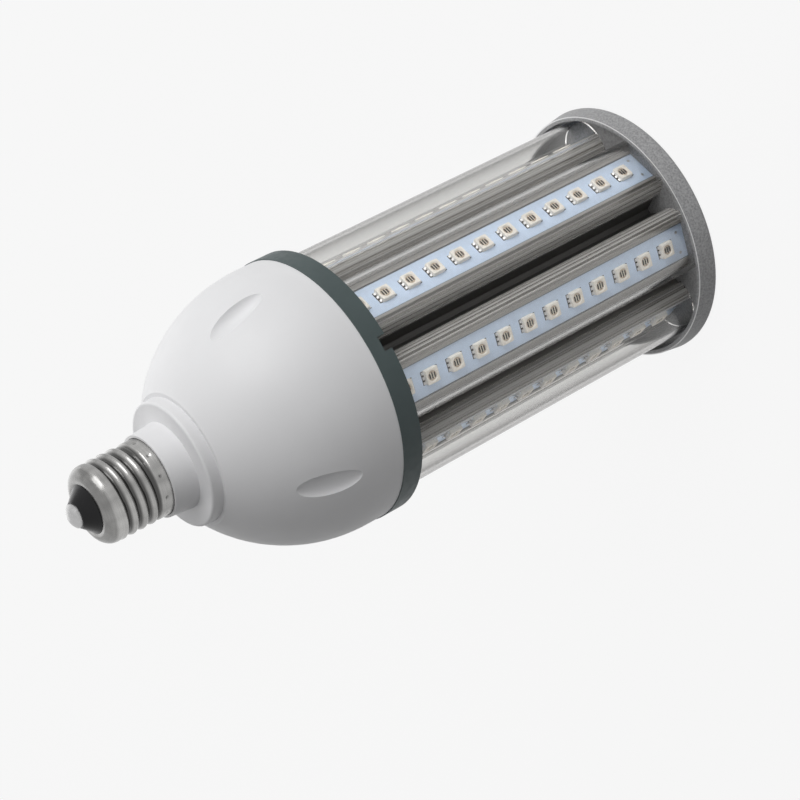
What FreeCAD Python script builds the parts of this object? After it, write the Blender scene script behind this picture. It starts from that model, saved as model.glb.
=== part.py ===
import FreeCAD, Part
import math
import os
import types

import Sketcher

Vector = FreeCAD.Vector

# Driving dimensions in millimetres. Heights count up from the outer face of the end cap, and
# "distance" means the distance of a flat from the lamp's axis.
SIZES = {
    # end cap, a shallow cast cup
    "cap_radius": 45.5,
    "cap_mouth_radius": 44.6,
    "cap_wall": 1.5,
    "cap_base_wall": 2.4,
    "cap_floor": 2.5,
    "cap_rim": 5.0,
    "cap_edge_round": 1.5,
    # extruded heat sink
    "facet_count": 7,
    "sink_length": 132.5,
    "deck_clearance": 0.3,
    "lip_height": 1.2,
    "valley_depth": 10.8,
    "valley_floor": 1.8,
    "sink_wall": 2.4,
    "deck_thickness": 4.2,
    "channel_wall": 1.4,
    "channel_taper": 4.0,
    "rail_clearance": 0.15,
    "rail_width": 0.9,
    "rail_height": 1.6,
    "port_inset": 1.7,
    "port_radius": 3.0,
    "port_hole_radius": 1.25,
    # clear covers, one over each row
    "cover_radius": 11.2,
    "cover_wall": 1.4,
    "cover_drop": 1.3,
    "cover_leg": 1.9,
    "hook_reach": 1.2,
    "hook_height": 1.2,
    "hook_clearance": 0.2,
    "end_clearance": 0.1,
    "cover_clearance": 0.8,
    # LED boards
    "board_width": 12.0,
    "board_thickness": 1.2,
    "led_pitch": 10.39,
    "led_first": 9.3,
    "led_end_clearance": 5.0,
    "led_side": 5.0,
    "led_height": 1.6,
    "led_well_radius": 1.9,
    "led_well_depth": 0.4,
    # ring board that joins the rows
    "link_thickness": 1.0,
    "link_clearance": 0.4,
    # ring between heat sink and driver housing
    "ring_step": 0.3,
    "ring_wall": 2.9,
    "ring_rim": 3.5,
    "ring_floor": 3.8,
    "ring_wire_radius": 7.0,
    "notch_width": 4.9,
    "notch_depth": 2.8,
    "spigot_height": 4.0,
    "spigot_wall": 1.8,
    "spigot_clearance": 0.1,
    "guide_inset": 5.0,
    "guide_length": 6.0,
    "guide_width": 5.0,
    "guide_height": 8.0,
    # driver housing
    "dome_radius": 45.7,
    "dome_wall": 2.0,
    "dome_skirt": 5.7,
    "dome_arc": 57.0,
    "dome_height": 51.4,
    "collar_radius": 21.4,
    "collar_height": 4.2,
    "collar_round": 0.9,
    "neck_radius": 14.8,
    "neck_top_radius": 14.0,
    "neck_height": 8.4,
    "neck_bore_radius": 9.6,
    "plug_height": 11.0,
    "recess_height": 28.6,
    "recess_depth": 2.6,
    "recess_half_length": 13.5,
    "recess_half_width": 4.4,
    "recess_half_depth": 4.4,
    "recess_tilt": 14.2,
    # screw base
    "shell_wall": 0.5,
    "shell_clearance": 0.05,
    "shell_band_radius": 13.05,
    "shell_band": 4.6,
    "thread_crest_radius": 13.2,
    "thread_root_radius": 12.1,
    "thread_pitch": 3.629,
    "thread_turns": 4,
    "thread_rise_length": 1.3,
    "thread_crest_length": 0.87,
    "thread_runout_length": 0.73,
    "shell_shoulder": 3.0,
    "shell_lip": 0.8,
    "shell_end": 1.1,
    "insulator_seat": 6.0,
    "insulator_rim_radius": 7.5,
    "insulator_rim_height": 0.7,
    "insulator_top_radius": 4.4,
    "insulator_height": 4.1,
    "contact_radius": 4.0,
    "contact_edge": 0.8,
    "contact_dome": 1.7,
    "contact_stem_radius": 1.6,
    "contact_stem": 10.5,
    # driver
    "driver_inset": 11.8,
    "driver_top_width": 36.0,
    "driver_side_height": 20.0,
    "driver_height": 44.0,
    "driver_thickness": 1.6,
    "slot_clearance": 0.1,
    "core_width": 20.0,
    "core_height": 17.0,
    "core_depth": 15.0,
    "core_leg": 4.0,
    "coil_radius": 6.5,
    "core_lift": 10.0,
    "capacitor_radius": 5.0,
    "capacitor_length": 16.0,
    "capacitor_offset": 19.0,
    "choke_radius": 5.0,
    "choke_waist": 3.6,
    "choke_depth": 11.0,
    "choke_flange": 1.5,
    "rectifier_width": 9.0,
    "rectifier_height": 7.0,
    "rectifier_depth": 2.6,
    "lead_radius": 0.7,
    "lead_bend": 5.0,
    "led_lead_offset": 3.0,
    "led_lead_lift": 9.0,
    "neutral_offset": 5.0,
    # screws
    "screw_radius": 1.25,
    "screw_head_radius": 2.5,
    "screw_head": 1.8,
    "screw_head_edge_height": 1.1,
    "screw_head_top_radius": 1.5,
    "screw_length": 11.0,
    "screw_clearance": 0.2,
}

# The corners between rows that carry a screw port, counted from the row at the back.
PORT_CORNERS = (-1, 2, 4)
RECESS_COUNT = 4
RECESS_TURN = 45.0
BACK_ROW_ANGLE = 90.0

doc = FreeCAD.newDocument("corn_lamp")
sheet = doc.addObject("Spreadsheet::Sheet", "sizes")


class Size:
    """A size with its present value and the sheet expression that drives it."""

    def __init__(self, value, text):
        self.value = float(value)
        self.text = text

    def __add__(self, other):
        return joined(self, "+", other, self.value + of(other).value)

    def __radd__(self, other):
        return of(other) + self

    def __sub__(self, other):
        return joined(self, "-", other, self.value - of(other).value)

    def __rsub__(self, other):
        return of(other) - self

    def __mul__(self, other):
        return joined(self, "*", other, self.value * of(other).value)

    def __rmul__(self, other):
        return of(other) * self

    def __truediv__(self, other):
        return joined(self, "/", other, self.value / of(other).value)

    def __rtruediv__(self, other):
        return of(other) / self

    def __neg__(self):
        return 0 - self


def of(number):
    """A plain number as a Size."""
    return number if isinstance(number, Size) else Size(number, repr(float(number)))


def joined(left, sign, right, value):
    return Size(value, "(%s %s %s)" % (left.text, sign, of(right).text))


def root_of(size):
    return Size(math.sqrt(size.value), "sqrt(%s)" % size.text)


def sine(degrees):
    return Size(math.sin(math.radians(of(degrees).value)), "sin(%s)" % of(degrees).text)


def cosine(degrees):
    return Size(math.cos(math.radians(of(degrees).value)), "cos(%s)" % of(degrees).text)


def least(*sizes):
    return Size(min(size.value for size in sizes), "min(%s)" % "; ".join(size.text for size in sizes))


def fill_sheet():
    """Write each size to a row of the sheet and return them all by name."""
    for row, (alias, value) in enumerate(SIZES.items(), 1):
        sheet.set("A%d" % row, alias)
        sheet.set("B%d" % row, str(value))
        sheet.setAlias("B%d" % row, alias)
    doc.recompute()
    named = {alias: Size(value, "sizes." + alias) for alias, value in SIZES.items()}
    return types.SimpleNamespace(**named)


s = fill_sheet()
FACETS = int(s.facet_count.value)

# Levels along the axis
cap_top = s.cap_floor + s.cap_rim
sink_top = s.cap_floor + s.sink_length
link_bottom = sink_top - s.link_thickness
row_bottom = s.cap_floor + s.end_clearance
row_length = link_bottom - s.cap_floor - s.end_clearance * 2
ring_top = sink_top + s.ring_floor
arc_start = ring_top + s.dome_skirt
dome_top = ring_top + s.dome_height
collar_top = dome_top + s.collar_height
neck_top = collar_top + s.neck_height
plug_top = neck_top + s.plug_height
thread_start = neck_top + s.shell_band
thread_end = thread_start + s.thread_pitch * s.thread_turns
shell_top = thread_end + s.shell_end + s.shell_shoulder
insulator_bottom = shell_top - s.insulator_seat
insulator_top = shell_top + s.insulator_height
driver_top = ring_top + s.driver_height

# Radii and distances that pieces share, from the dome and the end cap inwards. The rows of LEDs
# under their covers fit inside the narrower of the two rims that hold them.
ring_radius = s.dome_radius + s.ring_step
rim_bore_radius = least(
    ring_radius - s.ring_wall, s.cap_mouth_radius - s.cap_wall, s.cap_radius - s.cap_base_wall)
link_radius = rim_bore_radius - s.link_clearance
cover_centre = rim_bore_radius - s.cover_clearance - s.cover_radius
deck_distance = cover_centre + s.cover_drop
half_deck = s.cover_radius - s.cover_wall - s.deck_clearance
led_lead_distance = (deck_distance + link_radius) / 2
valley_radius = deck_distance - s.valley_depth
sink_bore_radius = valley_radius - s.sink_wall
port_distance = sink_bore_radius - s.port_inset
shell_inner = s.thread_root_radius - s.shell_wall
plug_radius = shell_inner - s.shell_clearance
spigot_radius = s.dome_radius - s.dome_wall - s.spigot_clearance
spigot_inner = spigot_radius - s.spigot_wall
half_driver_width = spigot_inner - s.driver_inset
guide_offset = half_driver_width - s.guide_inset
board_top = deck_distance + s.board_thickness
half_corner = 180 / s.facet_count
half_driver = s.driver_thickness / 2


def facet_angle(index):
    return BACK_ROW_ANGLE + 360 / s.facet_count * index


def corner_angle(index):
    return facet_angle(index) - half_corner


def bind(target, **expressions):
    """Drive properties by expressions; a double underscore in a name stands for a dot."""
    for name, size in expressions.items():
        target.setExpression(name.replace("__", "."), of(size).text)


def side_between(start, end, radius, clockwise):
    """A straight or round side, and which of its ends (1 or 2) is the start."""
    first = Vector(start[0].value, start[1].value, 0)
    last = Vector(end[0].value, end[1].value, 0)
    if radius is None:
        return Part.LineSegment(first, last), 1
    chord = last - first
    left = Vector(-chord.y, chord.x, 0).normalize()
    reach = math.sqrt(max(radius.value ** 2 - chord.Length ** 2 / 4, 0))
    centre = (first + last) / 2 + left * (-reach if clockwise else reach)
    begin = math.atan2(first.y - centre.y, first.x - centre.x)
    finish = math.atan2(last.y - centre.y, last.x - centre.x)
    circle = Part.Circle(centre, Vector(0, 0, 1), radius.value)
    if clockwise:
        return Part.ArcOfCircle(circle, finish, begin), 2
    return Part.ArcOfCircle(circle, begin, finish), 1


def draw(sketch, corners):
    """Close a sketch through (x, y) corners, each placed by expressions.

    A corner (x, y, radius, clockwise) has a round side to the next corner.
    """
    places = [(of(corner[0]), of(corner[1])) for corner in corners]
    starts = []
    for index, corner in enumerate(corners):
        radius = of(corner[2]) if len(corner) > 2 else None
        following = places[(index + 1) % len(places)]
        side, start = side_between(places[index], following, radius, len(corner) > 3 and corner[3])
        sketch.addGeometry(side, False)
        starts.append(start)
    for index, start in enumerate(starts):
        following = (index + 1) % len(starts)
        sketch.addConstraint(
            Sketcher.Constraint("Coincident", index, 3 - start, following, starts[following]))
    for index, (place, start) in enumerate(zip(places, starts)):
        for kind, size in zip(("DistanceX", "DistanceY"), place):
            number = sketch.addConstraint(Sketcher.Constraint(kind, -1, 1, index, start, size.value))
            bind(sketch, **{"Constraints[%d]" % number: size})
        if len(corners[index]) > 2:
            radius = of(corners[index][2])
            number = sketch.addConstraint(Sketcher.Constraint("Radius", index, radius.value))
            bind(sketch, **{"Constraints[%d]" % number: radius})


def new_body(label):
    body = doc.addObject("PartDesign::Body", label)
    body.Label = label
    return body


def origin_plane(body, role):
    return next(plane for plane in body.Origin.OriginFeatures if plane.Role == role)


def attach(body, feature, role="XY_Plane"):
    feature.AttachmentSupport = [(origin_plane(body, role), "")]
    feature.MapMode = "FlatFace"
    return feature


def sketch_on(body, role, corners, lift=0):
    sketch = attach(body, body.newObject("Sketcher::SketchObject", "outline"), role)
    bind(sketch, AttachmentOffset__Base__z=lift)
    draw(sketch, corners)
    return sketch


def turned(label, corners):
    """A body turned about the lamp's axis from a half section of (radius, height) corners."""
    body = new_body(label)
    turn = body.newObject("PartDesign::Revolution", "turn")
    turn.Profile = sketch_on(body, "XZ_Plane", corners)
    turn.ReferenceAxis = (turn.Profile[0], ["V_Axis"])
    turn.Angle = 360
    return body


def raised(body, corners, lift, length):
    """Pad an outline of (x, y) corners upwards from a height."""
    pad = body.newObject("PartDesign::Pad", "pad")
    pad.Profile = sketch_on(body, "XY_Plane", corners, lift)
    bind(pad, Length=length)
    return pad


def primitive(body, kind, x, y, z, **sizes):
    """Add or cut a box, cylinder or cone that stands upright at a place of the body."""
    feature = attach(body, body.newObject("PartDesign::" + kind, kind))
    bind(feature, AttachmentOffset__Base__x=x, AttachmentOffset__Base__y=y, AttachmentOffset__Base__z=z)
    bind(feature, **sizes)
    return feature


def patterned(body, feature, count):
    """Repeat a feature round the lamp's axis."""
    doc.recompute()
    pattern = body.newObject("PartDesign::PolarPattern", "round")
    pattern.Originals = [feature]
    axis = next(line for line in body.Origin.OriginFeatures if line.Role == "Z_Axis")
    pattern.Axis = (axis, [""])
    pattern.Angle = 360
    bind(pattern, Occurrences=count)
    body.Tip = pattern
    return pattern


def turn_to(body, degrees):
    body.Placement = FreeCAD.Placement(Vector(0, 0, 0), FreeCAD.Rotation(Vector(0, 0, 1), degrees.value))
    body.setExpression("Placement.Rotation.Angle", "%s * 1 deg" % degrees.text)


def coded(label, shape):
    """A piece whose shape is made in code."""
    feature = doc.addObject("Part::Feature", label)
    feature.Label = label
    feature.Shape = shape
    return feature


def port_places():
    """Where the screw ports of the heat sink stand."""
    for corner in PORT_CORNERS:
        angle = corner_angle(corner)
        yield port_distance * cosine(angle), port_distance * sine(angle)


def end_cap():
    edge = s.cap_edge_round
    cap = turned("end_cap", [
        (0, 0),
        (s.cap_radius - edge, 0, edge, False),
        (s.cap_radius, edge),
        (s.cap_mouth_radius, cap_top),
        (rim_bore_radius, cap_top),
        (rim_bore_radius, s.cap_floor),
        (0, s.cap_floor),
    ])
    hole = s.screw_radius + s.screw_clearance
    for x, y in port_places():
        primitive(cap, "SubtractiveCylinder", x, y, 0, Radius=hole, Height=s.cap_floor)
        primitive(cap, "SubtractiveCone", x, y, 0, Radius1=s.screw_head_radius + s.screw_clearance,
                  Radius2=hole, Height=s.screw_head)
    return cap


def hook_levels():
    """Distances of the foot of a cover, of its hook's top, and of the groove round the hook."""
    foot = cover_centre - s.cover_leg
    hook_top = foot + s.hook_height
    return foot, hook_top, foot - s.hook_clearance, hook_top + s.hook_clearance


def hook_tip():
    return s.cover_radius - s.cover_wall - s.hook_reach


def valley_side(sign):
    """One flank of the valley between two rows, from the outside to its floor."""
    foot, hook_top, groove_bottom, groove_top = hook_levels()
    groove = hook_tip() - s.hook_clearance
    outside = deck_distance + half_deck
    flank = [
        (outside, half_deck),
        (groove_top, half_deck),
        (groove_top, groove),
        (groove_bottom, groove),
        (groove_bottom, half_deck),
        (groove_bottom - s.lip_height, half_deck),
    ]
    lean = cosine(half_corner)
    drop = sine(half_corner)
    corners = [(p * lean + u * drop, (p * drop - u * lean) * sign) for p, u in flank]
    return corners + [(valley_radius, s.valley_floor / 2 * sign)]


def facet_sketch(sink, corners):
    """An outline of (distance, across) corners on a facet of the heat sink, at its lower end."""
    outline = sketch_on(sink, "XY_Plane", corners, s.cap_floor)
    outline.AttachmentOffset = FreeCAD.Placement(
        outline.AttachmentOffset.Base, FreeCAD.Rotation(Vector(0, 0, 1), half_corner.value))
    outline.setExpression("AttachmentOffset.Rotation.Angle", "%s * 1 deg" % half_corner.text)
    return outline


def heat_sink():
    """Extrusion with a deck for each row, rails beside the boards, valleys between and screw ports."""
    sink = new_body("heat_sink")
    primitive(sink, "AdditivePrism", 0, 0, s.cap_floor, Polygon=s.facet_count,
              Circumradius=deck_distance / cosine(half_corner), Height=s.sink_length)
    valley = sink.newObject("PartDesign::Pocket", "valley")
    valley.Profile = sketch_on(sink, "XY_Plane", valley_side(1) + valley_side(-1)[::-1], s.cap_floor)
    valley.Reversed = True
    bind(valley, Length=s.sink_length)
    patterned(sink, valley, s.facet_count)
    primitive(sink, "SubtractiveCylinder", 0, 0, s.cap_floor, Radius=sink_bore_radius,
              Height=s.sink_length)
    half_channel = hook_tip() - s.hook_clearance - s.channel_wall
    neck = half_channel - s.channel_taper / 2
    channel_bottom = sink_bore_radius - s.sink_wall
    channel_top = deck_distance - s.deck_thickness
    channel = sink.newObject("PartDesign::Pocket", "channel")
    channel.Profile = facet_sketch(sink, [
        (channel_bottom, -neck),
        (channel_top, -half_channel),
        (channel_top, half_channel),
        (channel_bottom, neck),
    ])
    channel.Reversed = True
    bind(channel, Length=s.sink_length)
    patterned(sink, channel, s.facet_count)
    rail_root = deck_distance - s.deck_thickness / 2
    rail_inner = s.board_width / 2 + s.rail_clearance
    rail_outer = rail_inner + s.rail_width
    rail_top = deck_distance + s.rail_height
    for side in (-1, 1):
        rail = sink.newObject("PartDesign::Pad", "rail")
        rail.Profile = facet_sketch(sink, [
            (rail_root, rail_inner * side),
            (rail_top, rail_inner * side),
            (rail_top, rail_outer * side),
            (rail_root, rail_outer * side),
        ])
        bind(rail, Length=s.sink_length - s.link_thickness)
        patterned(sink, rail, s.facet_count)
    for corner in PORT_CORNERS:
        angle = 360 / s.facet_count * corner
        x = port_distance * cosine(angle)
        y = port_distance * sine(angle)
        primitive(sink, "AdditiveCylinder", x, y, s.cap_floor, Radius=s.port_radius, Height=s.sink_length)
        primitive(sink, "SubtractiveCylinder", x, y, s.cap_floor, Radius=s.port_hole_radius,
                  Height=s.sink_length)
    turn_to(sink, corner_angle(0))
    return sink


def row_body(label, index, corners):
    """A straight piece that runs the length of one row, on its facet."""
    body = new_body(label)
    raised(body, corners, row_bottom, row_length)
    turn_to(body, facet_angle(index))
    return body


def led_board(index):
    half = s.board_width / 2
    return row_body("led_board_%d" % (index + 1), index, [
        (deck_distance, -half),
        (board_top, -half),
        (board_top, half),
        (deck_distance, half),
    ])


def cover(index):
    outer = s.cover_radius
    inner = s.cover_radius - s.cover_wall
    foot, hook_top, groove_bottom, groove_top = hook_levels()
    tip = hook_tip()
    return row_body("cover_%d" % (index + 1), index, [
        (foot, -outer),
        (cover_centre, -outer, outer, False),
        (cover_centre + outer, 0, outer, False),
        (cover_centre, outer),
        (foot, outer),
        (foot, tip),
        (hook_top, tip),
        (hook_top, inner),
        (cover_centre, inner, inner, True),
        (cover_centre + inner, 0, inner, True),
        (cover_centre, -inner),
        (hook_top, -inner),
        (hook_top, -tip),
        (foot, -tip),
    ])


def led_heights():
    """Heights of the LEDs of a row: as many as the board has room for at their pitch."""
    first = s.cap_floor + s.led_first
    last = row_bottom + row_length - s.led_end_clearance
    count = int((last - first).value / s.led_pitch.value) + 1
    return [(first + s.led_pitch * number).value for number in range(count)]


def led_row(index):
    """The LEDs of one row, each a square body with a round well."""
    side = s.led_side.value
    floor = (board_top + s.led_height - s.led_well_depth).value
    leds = []
    for height in led_heights():
        led = Part.makeBox(s.led_height.value, side, side,
                           Vector(board_top.value, -side / 2, height - side / 2))
        well = Part.makeCylinder(s.led_well_radius.value, s.led_height.value, Vector(floor, 0, height),
                                 Vector(1, 0, 0))
        leds.append(led.cut(well))
    row = coded("led_row_%d" % (index + 1), Part.makeCompound(leds))
    turn_to(row, facet_angle(index))
    return row


def link_board():
    """A flat ring, with a hole of the heat sink's outline, on which the rows end."""
    board = new_body("link_board")
    primitive(board, "AdditiveCylinder", 0, 0, link_bottom, Radius=link_radius, Height=s.link_thickness)
    primitive(board, "SubtractivePrism", 0, 0, link_bottom, Polygon=s.facet_count,
              Circumradius=(deck_distance + s.end_clearance) / cosine(half_corner),
              Height=s.link_thickness)
    turn_to(board, corner_angle(0))
    return board


def lower_ring():
    ring = turned("lower_ring", [
        (s.ring_wire_radius, sink_top),
        (rim_bore_radius, sink_top),
        (rim_bore_radius, sink_top - s.ring_rim),
        (ring_radius, sink_top - s.ring_rim),
        (ring_radius, ring_top),
        (spigot_radius, ring_top),
        (spigot_radius, ring_top + s.spigot_height),
        (spigot_inner, ring_top + s.spigot_height),
        (spigot_inner, ring_top),
        (s.ring_wire_radius, ring_top),
    ])
    primitive(ring, "SubtractiveBox", -s.notch_width / 2, -ring_radius - s.notch_depth,
              sink_top - s.ring_rim, Length=s.notch_width,
              Width=ring_radius - rim_bore_radius + s.notch_depth * 2, Height=s.notch_depth)
    slot = half_driver + s.slot_clearance
    for side in (-1, 1):
        primitive(ring, "AdditiveBox", guide_offset * side - s.guide_length / 2, -s.guide_width / 2,
                  ring_top, Length=s.guide_length, Width=s.guide_width, Height=s.guide_height)
        primitive(ring, "SubtractiveBox", guide_offset * side - s.guide_length / 2, -slot,
                  ring_top, Length=s.guide_length, Width=slot * 2, Height=s.guide_height)
        primitive(ring, "SubtractiveCylinder", s.led_lead_offset * side, -led_lead_distance, sink_top,
                  Radius=s.lead_radius + s.screw_clearance, Height=s.ring_floor)
    for x, y in port_places():
        primitive(ring, "SubtractiveCylinder", x, y, sink_top,
                  Radius=s.screw_radius + s.screw_clearance, Height=s.ring_floor)
    return ring


def revolved_solid(label, corners):
    """A plain solid of revolution for the boolean features."""
    sketch = doc.addObject("Sketcher::SketchObject", label + "_outline")
    sketch.Placement = FreeCAD.Placement(Vector(0, 0, 0), FreeCAD.Rotation(Vector(1, 0, 0), 90))
    draw(sketch, corners)
    solid = doc.addObject("Part::Revolution", label)
    solid.Source = sketch
    solid.Axis = Vector(0, 0, 1)
    solid.Angle = 360
    solid.Solid = True
    return solid


def arc_radius_at(height, wall):
    """Radius of the dome's round stretch at a height, less a wall."""
    rise = height - arc_start
    arc = s.dome_arc - wall
    return s.dome_radius - s.dome_arc + root_of(arc * arc - rise * rise)


def recess_tools(label, growth):
    """Long ellipsoids that lean into the dome's wall, one for each recess, fused as one tool."""
    level = ring_top + s.recess_height
    reach = arc_radius_at(level, 0) + s.recess_half_depth - s.recess_depth
    lean = FreeCAD.Rotation(Vector(0, 1, 0), -s.recess_tilt.value)
    tools = []
    for number in range(RECESS_COUNT):
        angle = RECESS_TURN + 360 / RECESS_COUNT * number
        tool = doc.addObject("Part::Ellipsoid", label)
        tool.Angle1 = -90
        bind(tool, Radius1=s.recess_half_length + growth, Radius2=s.recess_half_depth + growth,
             Radius3=s.recess_half_width + growth)
        tool.Placement = FreeCAD.Placement(
            Vector(0, 0, 0), FreeCAD.Rotation(Vector(0, 0, 1), angle).multiply(lean))
        bind(tool, Placement__Base__x=reach * cosine(angle), Placement__Base__y=reach * sine(angle),
             Placement__Base__z=level)
        tools.append(tool)
    fused = doc.addObject("Part::MultiFuse", label + "s")
    fused.Shapes = tools
    return fused


def cut(label, base, tool):
    feature = doc.addObject("Part::Cut", label)
    feature.Base = base
    feature.Tool = tool
    return feature


def driver_housing():
    """White moulded dome with collar, neck and the plug that carries the screw shell."""
    inner_top = dome_top - s.dome_wall
    inner_radius = s.dome_radius - s.dome_wall
    body = revolved_solid("housing_blank", [
        (0, ring_top),
        (s.dome_radius, ring_top),
        (s.dome_radius, arc_start, s.dome_arc, False),
        (arc_radius_at(dome_top, 0), dome_top),
        (s.collar_radius, dome_top),
        (s.collar_radius, collar_top - s.collar_round, s.collar_round, False),
        (s.collar_radius - s.collar_round, collar_top),
        (s.neck_radius, collar_top),
        (s.neck_top_radius, neck_top),
        (plug_radius, neck_top),
        (plug_radius, plug_top),
        (0, plug_top),
    ])
    cavity = revolved_solid("housing_cavity", [
        (0, ring_top),
        (inner_radius, ring_top),
        (inner_radius, arc_start, s.dome_arc - s.dome_wall, False),
        (arc_radius_at(inner_top, s.dome_wall), inner_top),
        (s.neck_bore_radius, inner_top),
        (s.neck_bore_radius, plug_top),
        (0, plug_top),
    ])
    hollow = cut("housing_hollow", cavity, recess_tools("recess_backing", s.dome_wall))
    shell = cut("housing_shell", body, hollow)
    housing = cut("driver_housing", shell, recess_tools("recess", of(0)))
    housing.Label = "driver_housing"
    return housing


def screw_shell():
    """Thin shell with round thread ridges, a plain band at its rim and a turned-in end."""
    crest = s.thread_crest_radius
    valley = s.thread_root_radius
    wall = s.shell_wall
    round_centre = valley - s.shell_shoulder
    round_start = shell_top - s.shell_shoulder
    corners = [(shell_inner, neck_top), (s.shell_band_radius, neck_top),
               (s.shell_band_radius, thread_start - s.thread_runout_length)]
    for number in range(int(s.thread_turns.value)):
        level = thread_start + s.thread_pitch * number
        corners.append((valley, level))
        corners.append((crest, level + s.thread_rise_length))
        corners.append((crest, level + s.thread_rise_length + s.thread_crest_length))
    corners += [
        (valley, thread_end),
        (valley, round_start, s.shell_shoulder, False),
        (round_centre, shell_top),
        (round_centre - s.shell_lip, shell_top),
        (round_centre - s.shell_lip, shell_top - wall),
        (round_centre, shell_top - wall, s.shell_shoulder - wall, True),
        (shell_inner, round_start),
    ]
    return turned("screw_shell", corners)


def base_insulator():
    """Black plug under the round end of the shell, with a cone that carries the contact."""
    gap = s.shell_clearance
    under_shell = s.shell_wall + gap
    round_centre = s.thread_root_radius - s.shell_shoulder
    lip = round_centre - s.shell_lip - gap
    hole = s.contact_stem_radius + gap
    return turned("base_insulator", [
        (hole, insulator_bottom),
        (shell_inner - gap, insulator_bottom),
        (shell_inner - gap, shell_top - s.shell_shoulder, s.shell_shoulder - under_shell, False),
        (round_centre, shell_top - under_shell),
        (lip, shell_top - under_shell),
        (lip, shell_top),
        (s.insulator_rim_radius, shell_top + s.insulator_rim_height),
        (s.insulator_top_radius, insulator_top),
        (hole, insulator_top),
    ])


def centre_contact():
    rise = s.contact_dome
    crown = (s.contact_radius * s.contact_radius + rise * rise) / (rise * 2)
    edge = insulator_top + s.contact_edge
    stem_end = insulator_top - s.contact_stem
    return turned("centre_contact", [
        (0, stem_end),
        (s.contact_stem_radius, stem_end),
        (s.contact_stem_radius, insulator_top),
        (s.contact_radius, insulator_top),
        (s.contact_radius, edge, crown, False),
        (0, edge + rise),
    ])


def upright(label, corners, depth, offset):
    """A piece padded from an outline of (x, z) corners, with its back at an offset along Y."""
    body = new_body(label)
    pad = body.newObject("PartDesign::Pad", "pad")
    pad.Profile = sketch_on(body, "XZ_Plane", corners, offset)
    bind(pad, Length=depth)
    return body


def driver_board():
    half = half_driver_width
    half_top = s.driver_top_width / 2
    shoulder = ring_top + s.driver_side_height
    return upright("driver_board", [
        (-half, ring_top),
        (half, ring_top),
        (half, shoulder),
        (half_top, driver_top),
        (-half_top, driver_top),
        (-half, shoulder),
    ], s.driver_thickness, -half_driver)


def driver_transformer():
    """Ferrite core with two windows, and its winding round the middle leg."""
    half = s.core_width / 2
    leg = s.core_leg
    bottom = ring_top + s.core_lift
    top = bottom + s.core_height
    core = upright("driver_transformer", [
        (-half, bottom),
        (half, bottom),
        (half, top),
        (-half, top),
    ], s.core_depth, -half_driver - s.core_depth)
    window = s.core_height - leg * 2
    for side in (-1, 1):
        width = half - leg * 1.5
        start = leg / 2 if side > 0 else -leg / 2 - width
        primitive(core, "SubtractiveBox", start, half_driver, bottom + leg,
                  Length=width, Width=s.core_depth, Height=window)
    primitive(core, "AdditiveCylinder", 0, half_driver + s.core_depth / 2, bottom + leg,
              Radius=s.coil_radius, Height=window)
    return core


def driver_capacitor():
    """Can that stands over a guide of the ring, against the driver board."""
    can = new_body("driver_capacitor")
    primitive(can, "AdditiveCylinder", s.capacitor_offset, half_driver + s.capacitor_radius,
              ring_top + s.guide_height + s.slot_clearance, Radius=s.capacitor_radius,
              Height=s.capacitor_length)
    return can


def driver_choke():
    """Bobbin-shaped coil that stands off the back of the driver board."""
    level = ring_top + s.driver_side_height
    flange = s.choke_flange
    start = half_driver
    outline = [
        (0, start),
        (s.choke_radius, start),
        (s.choke_radius, start + flange),
        (s.choke_waist, start + flange),
        (s.choke_waist, start + s.choke_depth - flange),
        (s.choke_radius, start + s.choke_depth - flange),
        (s.choke_radius, start + s.choke_depth),
        (0, start + s.choke_depth),
    ]
    choke = turned("driver_choke", outline)
    place = Vector(-s.driver_top_width.value / 2, 0, level.value)
    choke.Placement = FreeCAD.Placement(place, FreeCAD.Rotation(Vector(1, 0, 0), 90))
    bind(choke, Placement__Base__x=-s.driver_top_width / 2, Placement__Base__z=level)
    return choke


def driver_rectifier():
    bottom = ring_top + s.driver_side_height
    left = s.driver_top_width / 2 - s.rectifier_width
    return upright("driver_rectifier", [
        (left, bottom),
        (left + s.rectifier_width, bottom),
        (left + s.rectifier_width, bottom + s.rectifier_height),
        (left, bottom + s.rectifier_height),
    ], s.rectifier_depth, half_driver)


def wire_through(points, bend):
    """A round wire along straight runs that tangent arcs join."""
    radius = s.lead_radius.value
    edges = []
    start = points[0]
    for corner, following in zip(points[1:-1], points[2:]):
        back = (start - corner).normalize()
        ahead = (following - corner).normalize()
        turn = math.pi - back.getAngle(ahead)
        cut_off = bend * math.tan(turn / 2)
        enter = corner + back * cut_off
        leave = corner + ahead * cut_off
        middle = (back + ahead).normalize()
        arc_middle = corner + middle * (bend / math.cos(turn / 2) - bend)
        edges.append(Part.makeLine(start, enter))
        edges.append(Part.Arc(enter, arc_middle, leave).toShape())
        start = leave
    edges.append(Part.makeLine(start, points[-1]))
    section = Part.Wire(Part.makeCircle(radius, points[0], points[1] - points[0]))
    return Part.Wire(edges).makePipeShell([section], True, False)


def led_leads():
    """Two wires from the back of the driver board, through the ring, to the link board."""
    wires = []
    for side in (-1, 1):
        x = s.led_lead_offset.value * side
        level = (ring_top + s.led_lead_lift).value
        wires.append(wire_through([
            Vector(x, -half_driver.value, level),
            Vector(x, -led_lead_distance.value, level),
            Vector(x, -led_lead_distance.value, sink_top.value),
        ], s.lead_bend.value))
    return coded("led_leads", Part.makeCompound(wires))


def live_lead():
    lead = new_body("live_lead")
    primitive(lead, "AdditiveCylinder", 0, 0, driver_top, Radius=s.lead_radius,
              Height=insulator_top - s.contact_stem - driver_top)
    return lead


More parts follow.
